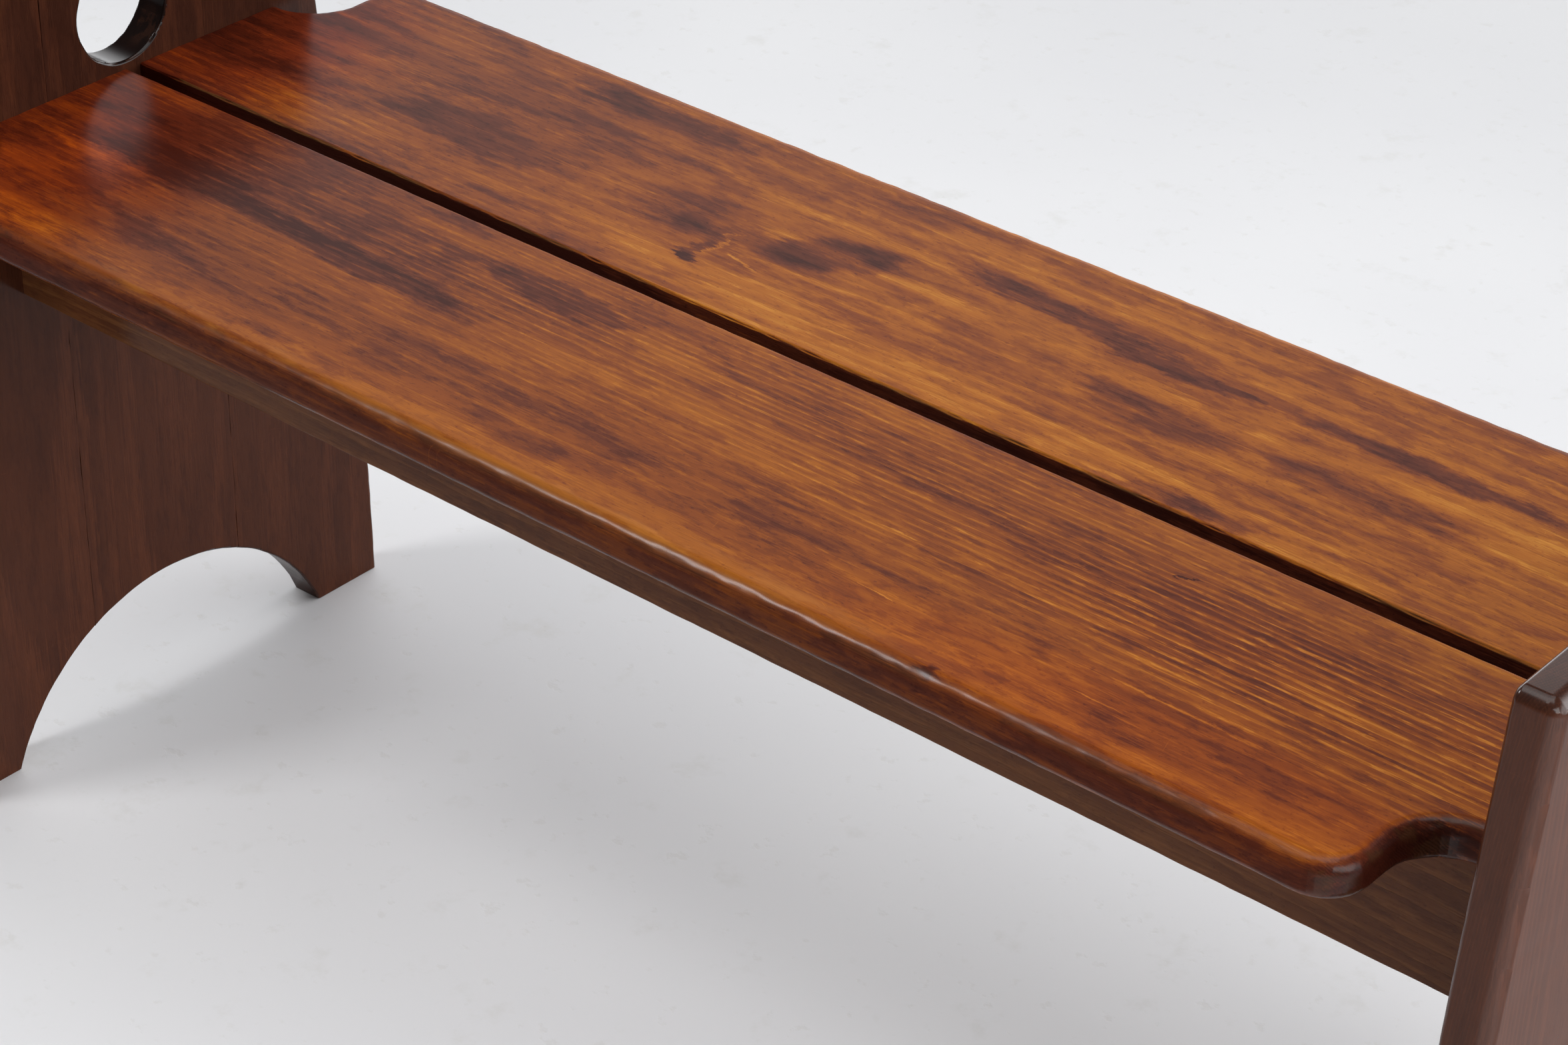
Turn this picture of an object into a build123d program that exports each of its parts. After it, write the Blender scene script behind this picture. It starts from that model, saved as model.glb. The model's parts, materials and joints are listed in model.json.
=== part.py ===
"""Kneeling bench of stained pine: two seat boards on aprons between two standing end panels.

X runs along the bench, +Y points to the back and +Z up. The origin is on the floor,
below the middle of the seat. All sizes are millimetres.
"""
from build123d import *
import os

# ---------------------------------------------------------------- driving sizes
# seat
clear_length = 1036.0        # between the inner faces of the end panels
seat_height = 450.0          # floor to the top of the seat
seat_thickness = 24.0
seat_depth = 385.0           # front edge to back edge
seat_gap = 10.0              # slot between the two boards
right_tongue = 14.0          # straight part of the narrow seat end, beside the right panel
left_tongue = 1.0            # the same beside the left panel, where the ogee was cut closer
neck_radius = 30.0           # hollow curve of the ogee
shoulder_radius = 26.0       # round curve of the ogee
seat_top_round = 9.0
seat_bottom_round = 10.0
gap_round = 2.0

# aprons
apron_thickness = 24.0
apron_height = 94.0
apron_setback = 93.5         # seat's long edge to the apron's outer face
apron_round = 2.0
neck_margin = 23.0           # seat standing proud of the apron at its narrow end

# end panels
panel_thickness = 24.0
panel_margin = 35.0          # panel standing proud of the narrow seat end, at seat level
foot_flare = 30.5            # how far each side spreads from seat level to the floor
top_taper = 13.5             # how far each side closes in from seat level to the top
foot_land = 55.5             # sole of each foot, front to back
arch_rise = 89.5
hand_hole_radius = 34.5
hand_hole_lift = 5.0         # wood between the seat's top and the hand hole
grip_height = 25.0           # wood above the hand hole
panel_corner_radius = 8.0
panel_outer_round = 9.0
panel_inner_round = 3.0
rim_round = 2.0              # easing of the arch and of the hand hole

# cleats and batten under the seat
cleat_width = 24.0
cleat_height = 24.0
batten_width = 44.0
batten_height = 24.0
hidden_chamfer = 1.0

# dowels
dowel_radius = 5.0
dowel_in_panel = 15.0
dowel_in_apron = 25.0
dowel_edge = 20.0            # apron's edge to the nearer dowel's axis
batten_dowel_radius = 4.0
batten_dowel_in_apron = 14.0
batten_dowel_in_batten = 16.0
batten_dowel_edge = 11.0     # batten's side to the dowel's axis
dowel_chamfer = 0.8
dowel_end_room = 1.0         # left for glue at each end of a dowel

# wood screws
screw_radius = 2.25
screw_head_radius = 4.4
screw_point = 6.0
screw_bite = 16.0            # reach into the piece that the screw holds
screw_pilot_room = 1.0       # pilot hole beyond the point
slot_width = 1.2
slot_depth = 1.1
driver_hole_radius = 6.0     # deep hole that lets the driver up into an apron
apron_web = 24.0             # wood that an apron screw passes
apron_screw_end = 118.0      # panel's inner face to the nearest apron screw
apron_screw_count = 4

fit_clearance = 0.1          # radial, round dowels and screws

os.makedirs("parts", exist_ok=True)

# ---------------------------------------------------------------- derived places
half_clear = clear_length / 2
seat_underside = seat_height - seat_thickness
half_depth = seat_depth / 2
half_gap = seat_gap / 2
apron_outer = half_depth - apron_setback
apron_inner = apron_outer - apron_thickness
apron_middle = (apron_outer + apron_inner) / 2
apron_bottom = seat_underside - apron_height
neck_half = apron_outer + neck_margin
panel_half_at_seat = neck_half + panel_margin
foot_half = panel_half_at_seat + foot_flare
top_half = panel_half_at_seat - top_taper
arch_half = foot_half - foot_land
panel_centre = foot_half - half_depth     # the front feet stand plumb with the seat's edge
hand_hole_height = seat_height + hand_hole_lift + hand_hole_radius
panel_top = hand_hole_height + hand_hole_radius + grip_height
stave_half = foot_half / 3                # each panel is glued up from three equal staves

screw_pitch = (apron_inner - half_gap) / 4                # three even rows between gap and apron
board_screw_rows = (half_gap + screw_pitch, half_gap + 3 * screw_pitch)
panel_screw_row = half_gap + 2 * screw_pitch
cleat_axis = half_clear - cleat_width / 2
apron_screw_span = clear_length - 2 * apron_screw_end
apron_dowel_heights = (apron_bottom + dowel_edge, seat_underside - dowel_edge)
batten_dowel_offset = batten_width / 2 - batten_dowel_edge
batten_dowel_height = seat_underside - batten_height / 2

DOWN = (0, 0, -1)
INWARD = (-1, 0, 0)          # from the right end towards the middle


def save(built, name):
    """Label a finished piece and write it to its own STEP file."""
    built.part.label = name
    export_step(built.part, f"parts/{name}.step")


def make_screw(passed):
    """Slotted countersunk wood screw along +Z, its head at the origin, for a piece this thick."""
    length = passed + screw_bite
    with BuildPart() as screw:
        with BuildSketch(Plane.XZ):
            with BuildLine():
                Polyline(
                    (0, 0),
                    (screw_head_radius, 0),
                    (screw_radius, screw_head_radius - screw_radius),
                    (screw_radius, length - screw_point),
                    (0, length),
                    close=True,
                )
            make_face()
        revolve(axis=Axis.Z)
        with BuildSketch(Plane.XY):
            Rectangle(2 * screw_head_radius, slot_width)
        extrude(amount=slot_depth, mode=Mode.SUBTRACT)
    return screw.part


def screw_hole(depth):
    """Clearance hole and countersink for a screw, at each current location."""
    CounterSinkHole(
        radius=screw_radius + fit_clearance,
        counter_sink_radius=screw_head_radius + fit_clearance,
        depth=depth,
        counter_sink_angle=90,
    )


def pilot_hole():
    """Blind hole that takes a screw's bite, at each current location."""
    Hole(radius=screw_radius + fit_clearance, depth=screw_bite + screw_pilot_room)


def make_dowel(radius, length):
    """Dowel along +Z, centred on the origin, with chamfered ends."""
    with BuildPart() as dowel:
        Cylinder(radius, length)
        chamfer(dowel.edges().filter_by(GeomType.CIRCLE), dowel_chamfer)
    return dowel.part


def facing(direction, points):
    """Planes at the given points that all face one way, to drill from."""
    return [Plane(origin=point, z_dir=direction) for point in points]


# ---------------------------------------------------------------- fastener places
apron_screw_xs = [
    -apron_screw_span / 2 + index * apron_screw_span / (apron_screw_count - 1)
    for index in range(apron_screw_count)
]
apron_screw_tips = [(x, -apron_middle, seat_underside) for x in apron_screw_xs]
cleat_screw_tips = [
    (x, -y, seat_underside) for x in (-cleat_axis, cleat_axis) for y in board_screw_rows
]
batten_screw_tips = [(0, -y, seat_underside) for y in board_screw_rows]

# ---------------------------------------------------------------- seat boards
flank_y = -neck_half - neck_radius           # the ogee's short straight flank, from here
shoulder_y = shoulder_radius - half_depth    # to here


def on_the_curved_side(edge):
    """True for an edge on the shaped long side of the front board or on its ogees."""
    return edge.center().Y < gap_round - neck_half


with BuildPart() as front_seat_board:
    with BuildSketch(Plane.XY.offset(seat_underside)):
        with BuildLine():
            Line((-half_clear, -half_gap), (half_clear, -half_gap))
            for side, tongue in ((-1, left_tongue), (1, right_tongue)):
                flank_x = side * (half_clear - tongue - neck_radius)
                neck_x = side * (half_clear - tongue)
                shoulder_x = flank_x - side * shoulder_radius
                Line((side * half_clear, -half_gap), (side * half_clear, -neck_half))
                Line((side * half_clear, -neck_half), (neck_x, -neck_half))
                TangentArc((neck_x, -neck_half), (flank_x, flank_y), tangent=(-side, 0))
                Line((flank_x, flank_y), (flank_x, shoulder_y))
                TangentArc((flank_x, shoulder_y), (shoulder_x, -half_depth), tangent=(0, -1))
                Line((shoulder_x, -half_depth), (0, -half_depth))
        make_face()
    extrude(amount=seat_thickness)
    top_edges = front_seat_board.faces().sort_by(Axis.Z)[-1].edges()
    bottom_edges = front_seat_board.faces().sort_by(Axis.Z)[0].edges()
    fillet(top_edges.filter_by(on_the_curved_side), seat_top_round)
    fillet(bottom_edges.filter_by(on_the_curved_side), seat_bottom_round)
    fillet(front_seat_board.edges().filter_by(Axis.X).group_by(Axis.Y)[-1], gap_round)
    with Locations(*facing(DOWN, apron_screw_tips + cleat_screw_tips + batten_screw_tips)):
        pilot_hole()

with BuildPart() as back_seat_board:
    mirror(front_seat_board.part, about=Plane.XZ)

save(front_seat_board, "front_seat_board")
save(back_seat_board, "back_seat_board")

# ---------------------------------------------------------------- aprons
with BuildPart() as front_apron:
    with BuildSketch(Plane.XY.offset(apron_bottom)):
        with Locations((0, -apron_middle)):
            Rectangle(clear_length, apron_thickness)
    extrude(amount=apron_height)
    fillet(front_apron.edges().filter_by(Axis.X).group_by(Axis.Z)[0], apron_round)
    driver_hole_depth = apron_height - apron_web
    with Locations(*facing(DOWN, [(x, y, apron_bottom) for x, y, z in apron_screw_tips])):
        Hole(radius=driver_hole_radius, depth=driver_hole_depth)
    with Locations(*facing(DOWN, [(x, y, z - apron_web) for x, y, z in apron_screw_tips])):
        screw_hole(apron_web)
    for side in (-1, 1):
        dowel_mouths = [(side * half_clear, -apron_middle, z) for z in apron_dowel_heights]
        with Locations(*facing((side, 0, 0), dowel_mouths)):
            Hole(radius=dowel_radius + fit_clearance, depth=dowel_in_apron + dowel_end_room)
    batten_mouths = [
        (x, -apron_inner, batten_dowel_height) for x in (-batten_dowel_offset, batten_dowel_offset)
    ]
    with Locations(*facing((0, 1, 0), batten_mouths)):
        Hole(
            radius=batten_dowel_radius + fit_clearance,
            depth=batten_dowel_in_apron + dowel_end_room,
        )

with BuildPart() as back_apron:
    mirror(front_apron.part, about=Plane.XZ)

save(front_apron, "front_apron")
save(back_apron, "back_apron")

# ---------------------------------------------------------------- seat cleats
panel_screw_heads = [
    (half_clear - cleat_width, y, seat_underside - cleat_height / 2)
    for y in (-panel_screw_row, panel_screw_row)
]
right_cleat_heads = [
    (cleat_axis, side * y, seat_underside - cleat_height)
    for side in (-1, 1)
    for y in board_screw_rows
]

with BuildPart() as right_seat_cleat:
    with BuildSketch(Plane.XY.offset(seat_underside - cleat_height)):
        with Locations((cleat_axis, 0)):
            Rectangle(cleat_width, 2 * apron_inner)
    extrude(amount=cleat_height)
    low_edges = right_seat_cleat.edges().filter_by(Axis.Y).group_by(Axis.Z)[0]
    chamfer(low_edges.sort_by(Axis.X)[0], hidden_chamfer)
    with Locations(*facing(INWARD, panel_screw_heads)):
        screw_hole(cleat_width)
    with Locations(*facing(DOWN, right_cleat_heads)):
        screw_hole(cleat_height)

with BuildPart() as left_seat_cleat:
    mirror(right_seat_cleat.part, about=Plane.YZ)

save(right_seat_cleat, "right_seat_cleat")
save(left_seat_cleat, "left_seat_cleat")

# ---------------------------------------------------------------- centre batten
batten_heads = [
    (0, side * y, seat_underside - batten_height) for side in (-1, 1) for y in board_screw_rows
]

with BuildPart() as centre_batten:
    with BuildSketch(Plane.XY.offset(seat_underside - batten_height)):
        Rectangle(batten_width, 2 * apron_inner)
    extrude(amount=batten_height)
    chamfer(centre_batten.edges().filter_by(Axis.Y).group_by(Axis.Z)[0], hidden_chamfer)
    with Locations(*facing(DOWN, batten_heads)):
        screw_hole(batten_height)
    for side in (-1, 1):
        mouths = [
            (x, side * apron_inner, batten_dowel_height)
            for x in (-batten_dowel_offset, batten_dowel_offset)
        ]
        with Locations(*facing((0, side, 0), mouths)):
            Hole(
                radius=batten_dowel_radius + fit_clearance,
                depth=batten_dowel_in_batten + dowel_end_room,
            )

save(centre_batten, "centre_batten")

# ---------------------------------------------------------------- end panels
panel_plane = Plane(origin=(half_clear, panel_centre, 0), x_dir=(0, 1, 0), z_dir=(1, 0, 0))

with BuildPart() as right_end_panel:
    with BuildSketch(panel_plane):
        with BuildLine():
            Line((0, 0), (foot_half, 0))
            ThreePointArc((foot_half, 0), (panel_half_at_seat, seat_height), (top_half, panel_top))
            Line((top_half, panel_top), (0, panel_top))
            mirror(about=Plane.YZ)
        outline = make_face()
        top_points = outline.vertices().group_by(Axis.Y)[-1]
        fillet(top_points.filter_by(lambda point: abs(point.X) > top_half / 2), panel_corner_radius)
    extrude(amount=panel_thickness)
    outer_edges = right_end_panel.faces().sort_by(Axis.X)[-1].edges()
    inner_edges = right_end_panel.faces().sort_by(Axis.X)[0].edges()
    fillet(outer_edges.filter_by(lambda edge: edge.center().Z > rim_round), panel_outer_round)
    fillet(inner_edges.filter_by(lambda edge: edge.center().Z > rim_round), panel_inner_round)
    with BuildSketch(panel_plane):
        with BuildLine():
            ThreePointArc((arch_half, 0), (0, arch_rise), (-arch_half, 0))
            Line((-arch_half, 0), (arch_half, 0))
        make_face()
    extrude(amount=panel_thickness, mode=Mode.SUBTRACT)
    fillet(right_end_panel.edges(Select.LAST).filter_by(GeomType.CIRCLE), rim_round)
    with Locations(panel_plane.location * Location((0, hand_hole_height, panel_thickness))):
        Hole(radius=hand_hole_radius, depth=panel_thickness)
    fillet(right_end_panel.edges(Select.LAST).filter_by(GeomType.CIRCLE), rim_round)
    panel_screw_mouths = [(half_clear, y, z) for x, y, z in panel_screw_heads]
    with Locations(*facing(INWARD, panel_screw_mouths)):
        pilot_hole()
    panel_dowel_mouths = [
        (half_clear, y, z) for y in (-apron_middle, apron_middle) for z in apron_dowel_heights
    ]
    with Locations(*facing(INWARD, panel_dowel_mouths)):
        Hole(radius=dowel_radius + fit_clearance, depth=dowel_in_panel + dowel_end_room)

stave_bands = {
    "front": (-foot_half, -stave_half),
    "middle": (-stave_half, stave_half),
    "back": (stave_half, foot_half),
}
for stave_name, (low, high) in stave_bands.items():
    stave_y = panel_centre + (low + high) / 2
    with BuildPart() as right_stave:
        add(right_end_panel.part)
        with Locations((half_clear + panel_thickness / 2, stave_y, panel_top / 2)):
            Box(panel_thickness, high - low, panel_top, mode=Mode.INTERSECT)
    with BuildPart() as left_stave:
        mirror(right_stave.part, about=Plane.YZ)
    save(right_stave, f"right_end_{stave_name}_stave")
    save(left_stave, f"left_end_{stave_name}_stave")

# ---------------------------------------------------------------- dowels
apron_dowel = make_dowel(dowel_radius, dowel_in_panel + dowel_in_apron)
apron_dowel_x = half_clear + (dowel_in_panel - dowel_in_apron) / 2

for side_name, side in (("left", -1), ("right", 1)):
    with BuildPart() as apron_dowels:
        for y in (-apron_middle, apron_middle):
            for z in apron_dowel_heights:
                with Locations(Location((side * apron_dowel_x, y, z), (0, 90, 0))):
                    add(apron_dowel)
    save(apron_dowels, f"{side_name}_apron_dowels")

batten_dowel = make_dowel(batten_dowel_radius, batten_dowel_in_apron + batten_dowel_in_batten)
batten_dowel_y = apron_inner + (batten_dowel_in_apron - batten_dowel_in_batten) / 2

with BuildPart() as batten_dowels:
    for x in (-batten_dowel_offset, batten_dowel_offset):
        for y in (-batten_dowel_y, batten_dowel_y):
            with Locations(Location((x, y, batten_dowel_height), (90, 0, 0))):
                add(batten_dowel)
save(batten_dowels, "batten_dowels")

# ---------------------------------------------------------------- screws
apron_screw = make_screw(apron_web)
with BuildPart() as front_apron_screws:
    with Locations(*[(x, y, z - apron_web) for x, y, z in apron_screw_tips]):
        add(apron_screw)
with BuildPart() as back_apron_screws:
    mirror(front_apron_screws.part, about=Plane.XZ)
save(front_apron_screws, "front_apron_screws")
save(back_apron_screws, "back_apron_screws")

with BuildPart() as batten_screws:
    with Locations(*batten_heads):
        add(make_screw(batten_height))
save(batten_screws, "batten_screws")

with BuildPart() as right_cleat_seat_screws:
    with Locations(*right_cleat_heads):
        add(make_screw(cleat_height))
with BuildPart() as left_cleat_seat_screws:
    mirror(right_cleat_seat_screws.part, about=Plane.YZ)
save(right_cleat_seat_screws, "right_cleat_seat_screws")
save(left_cleat_seat_screws, "left_cleat_seat_screws")

with BuildPart() as right_cleat_panel_screws:
    with Locations(*[Location(head, (0, 90, 0)) for head in panel_screw_heads]):
        add(make_screw(cleat_width))
with BuildPart() as left_cleat_panel_screws:
    mirror(right_cleat_panel_screws.part, about=Plane.YZ)
save(right_cleat_panel_screws, "right_cleat_panel_screws")
save(left_cleat_panel_screws, "left_cleat_panel_screws")
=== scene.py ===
"""Kneeling bench of stained pine, with the looks of its boards, panels and fastenings.

Lengths are metres. X runs along the bench, +Y points to the back and +Z up. The origin is
on the floor below the middle of the seat.
"""
import json
import logging
import math
from dataclasses import dataclass, field
from enum import Enum

import bmesh
import bpy
from mathutils import Color, Matrix, Vector, noise

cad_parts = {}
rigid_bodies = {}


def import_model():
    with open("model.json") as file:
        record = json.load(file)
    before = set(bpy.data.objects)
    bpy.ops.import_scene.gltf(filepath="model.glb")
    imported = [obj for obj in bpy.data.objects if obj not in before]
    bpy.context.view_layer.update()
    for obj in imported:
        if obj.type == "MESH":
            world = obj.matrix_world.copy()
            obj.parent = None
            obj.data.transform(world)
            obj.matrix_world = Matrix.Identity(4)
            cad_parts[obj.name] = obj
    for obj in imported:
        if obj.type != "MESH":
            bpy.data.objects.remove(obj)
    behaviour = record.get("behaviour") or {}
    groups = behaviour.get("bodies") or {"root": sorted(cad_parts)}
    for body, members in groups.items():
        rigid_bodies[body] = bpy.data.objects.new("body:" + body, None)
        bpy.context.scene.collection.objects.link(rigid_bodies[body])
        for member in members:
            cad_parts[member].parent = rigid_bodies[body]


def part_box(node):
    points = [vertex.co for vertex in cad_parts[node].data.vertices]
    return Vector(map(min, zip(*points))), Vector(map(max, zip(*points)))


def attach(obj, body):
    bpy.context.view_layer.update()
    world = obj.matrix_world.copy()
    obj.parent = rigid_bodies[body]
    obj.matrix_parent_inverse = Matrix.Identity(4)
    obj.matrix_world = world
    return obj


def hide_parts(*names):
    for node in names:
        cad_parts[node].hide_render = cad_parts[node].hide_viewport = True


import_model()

LOG = logging.getLogger("bench")
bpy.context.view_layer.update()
BODY = "root"
MILLIMETRE = 0.001
WELD = 1e-6
FLAT_ANGLE = math.radians(0.4)
SHARP_ANGLE = math.radians(32)
WEAR_BEGINS = 0.995  # flatter than this is not worn
WEAR_SPAN = 0.20
WEAR_BIAS = 0.35

Colour = tuple[float, float, float]
Triple = tuple[float, float, float]


class Grain(Enum):
    """The way that a piece's fibres run."""

    ALONG = "xyz"
    ACROSS = "yzx"
    UPRIGHT = "zyx"


class Side(Enum):
    """An end of the bench."""

    LEFT = "left"
    RIGHT = "right"


# ---------------------------------------------------------------- shader building
class Sheet:
    """A node tree that is filled a step at a time."""

    def __init__(self, tree: bpy.types.NodeTree) -> None:
        """Start on a tree.

        Args:
            tree: The node tree to fill.
        """
        self.tree = tree

    def node(self, kind: str, **settings: object) -> bpy.types.Node:
        """Add a node.

        Args:
            kind: The node's type name.
            **settings: Properties to set on it.

        Returns:
            The new node.
        """
        made = self.tree.nodes.new(kind)
        place = len(self.tree.nodes)
        made.location = (220 * (place // 6), -200 * (place % 6))
        for name, value in settings.items():
            setattr(made, name, value)
        return made

    def feed(self, socket: bpy.types.NodeSocket, value: object) -> None:
        """Link a socket to an input, or set its value.

        Args:
            socket: The input to fill.
            value: Another node's output, or a plain value.
        """
        if isinstance(value, bpy.types.NodeSocket):
            self.tree.links.new(value, socket)
        else:
            socket.default_value = value

    def math(
        self, operation: str, first: object, second: object = 0.0, clamp: bool = False
    ) -> bpy.types.NodeSocket:
        """Add one step of arithmetic.

        Args:
            operation: The Math node's operation.
            first: First value or socket.
            second: Second value or socket.
            clamp: Whether the result is held between 0 and 1.

        Returns:
            The result.
        """
        made = self.node("ShaderNodeMath", operation=operation, use_clamp=clamp)
        self.feed(made.inputs[0], first)
        self.feed(made.inputs[1], second)
        return made.outputs[0]

    def add(self, total: object, value: object, share: object = 1.0) -> bpy.types.NodeSocket:
        """Add a share of a value to a total.

        Args:
            total: What there is so far.
            value: What is added.
            share: How much of the value counts.

        Returns:
            The new total.
        """
        made = self.node("ShaderNodeMath", operation="MULTIPLY_ADD")
        for socket, entry in zip(made.inputs, (value, share, total)):
            self.feed(socket, entry)
        return made.outputs[0]

    def vector(
        self, operation: str, first: object, second: object = (0.0, 0.0, 0.0)
    ) -> bpy.types.NodeSocket:
        """Add one step of vector arithmetic.

        Args:
            operation: The Vector Math node's operation.
            first: First vector or socket.
            second: Second vector or socket, or the factor of a SCALE.

        Returns:
            The result, a vector, or a number for LENGTH and DOT_PRODUCT.
        """
        made = self.node("ShaderNodeVectorMath", operation=operation)
        self.feed(made.inputs[0], first)
        self.feed(made.inputs[3 if operation == "SCALE" else 1], second)
        return made.outputs[1 if operation in ("LENGTH", "DOT_PRODUCT") else 0]

    def split(self, vector: object) -> bpy.types.bpy_prop_collection:
        """Take a vector apart.

        Args:
            vector: The vector or socket.

        Returns:
            The outputs X, Y and Z.
        """
        made = self.node("ShaderNodeSeparateXYZ")
        self.feed(made.inputs[0], vector)
        return made.outputs

    def noise(self, place: object, detail: float = 2.0, roughness: float = 0.5) -> bpy.types.Node:
        """Add a noise whose features are about one unit apart.

        Args:
            place: The vector to read.
            detail: Octaves.
            roughness: Strength of the finer octaves.

        Returns:
            The noise node.
        """
        made = self.node("ShaderNodeTexNoise")
        self.feed(made.inputs["Vector"], place)
        self.feed(made.inputs["Scale"], 1.0)
        self.feed(made.inputs["Detail"], detail)
        self.feed(made.inputs["Roughness"], roughness)
        return made

    def ease(
        self, value: object, low: float, high: float, bottom: object = 0.0, top: object = 1.0
    ) -> bpy.types.NodeSocket:
        """Turn one range of a value into another with soft ends.

        Args:
            value: The value to read.
            low: Where the result is at its bottom.
            high: Where the result is at its top.
            bottom: Result at low.
            top: Result at high.

        Returns:
            The eased value.
        """
        made = self.node("ShaderNodeMapRange", interpolation_type="SMOOTHSTEP")
        for socket, entry in zip(made.inputs, (value, low, high, bottom, top)):
            self.feed(socket, entry)
        return made.outputs[0]

    def mix(
        self, share: object, first: object, second: object, blend: str = "MIX"
    ) -> bpy.types.NodeSocket:
        """Mix two colours.

        Args:
            share: How much of the second colour shows.
            first: Colour or socket below.
            second: Colour or socket above.
            blend: The Mix node's blend type.

        Returns:
            The mixed colour.
        """
        made = self.node("ShaderNodeMix", data_type="RGBA", blend_type=blend, clamp_factor=True)
        self.feed(made.inputs[0], share)
        for socket, value in ((made.inputs[6], first), (made.inputs[7], second)):
            self.feed(socket, (*value, 1.0) if isinstance(value, tuple) else value)
        return made.outputs[2]

    def use(self, group: bpy.types.NodeTree, **values: object) -> bpy.types.Node:
        """Place a node group.

        Args:
            group: The group.
            **values: Its inputs by name, with _ for a space.

        Returns:
            The group's node.
        """
        made = self.node("ShaderNodeGroup")
        made.node_tree = group
        for name, value in values.items():
            self.feed(made.inputs[name.replace("_", " ").title()], value)
        return made


def start_group(
    name: str, vectors: tuple[str, ...], values: tuple[str, ...], gives: tuple[str, ...]
) -> tuple[Sheet, dict, bpy.types.Node]:
    """Begin a node group.

    Args:
        name: The group's name.
        vectors: Names of the vector inputs.
        values: Names of the value inputs.
        gives: Names of the outputs, all values.

    Returns:
        The sheet to fill, its inputs by name, and the node that takes its outputs.
    """
    tree = bpy.data.node_groups.new(name, "ShaderNodeTree")
    for label in vectors:
        tree.interface.new_socket(label, in_out="INPUT", socket_type="NodeSocketVector")
    for label in values:
        tree.interface.new_socket(label, in_out="INPUT", socket_type="NodeSocketFloat")
    for label in gives:
        tree.interface.new_socket(label, in_out="OUTPUT", socket_type="NodeSocketFloat")
    sheet = Sheet(tree)
    entry = sheet.node("NodeGroupInput")
    leave = sheet.node("NodeGroupOutput")
    return sheet, {label: entry.outputs[label] for label in vectors + values}, leave


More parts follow.
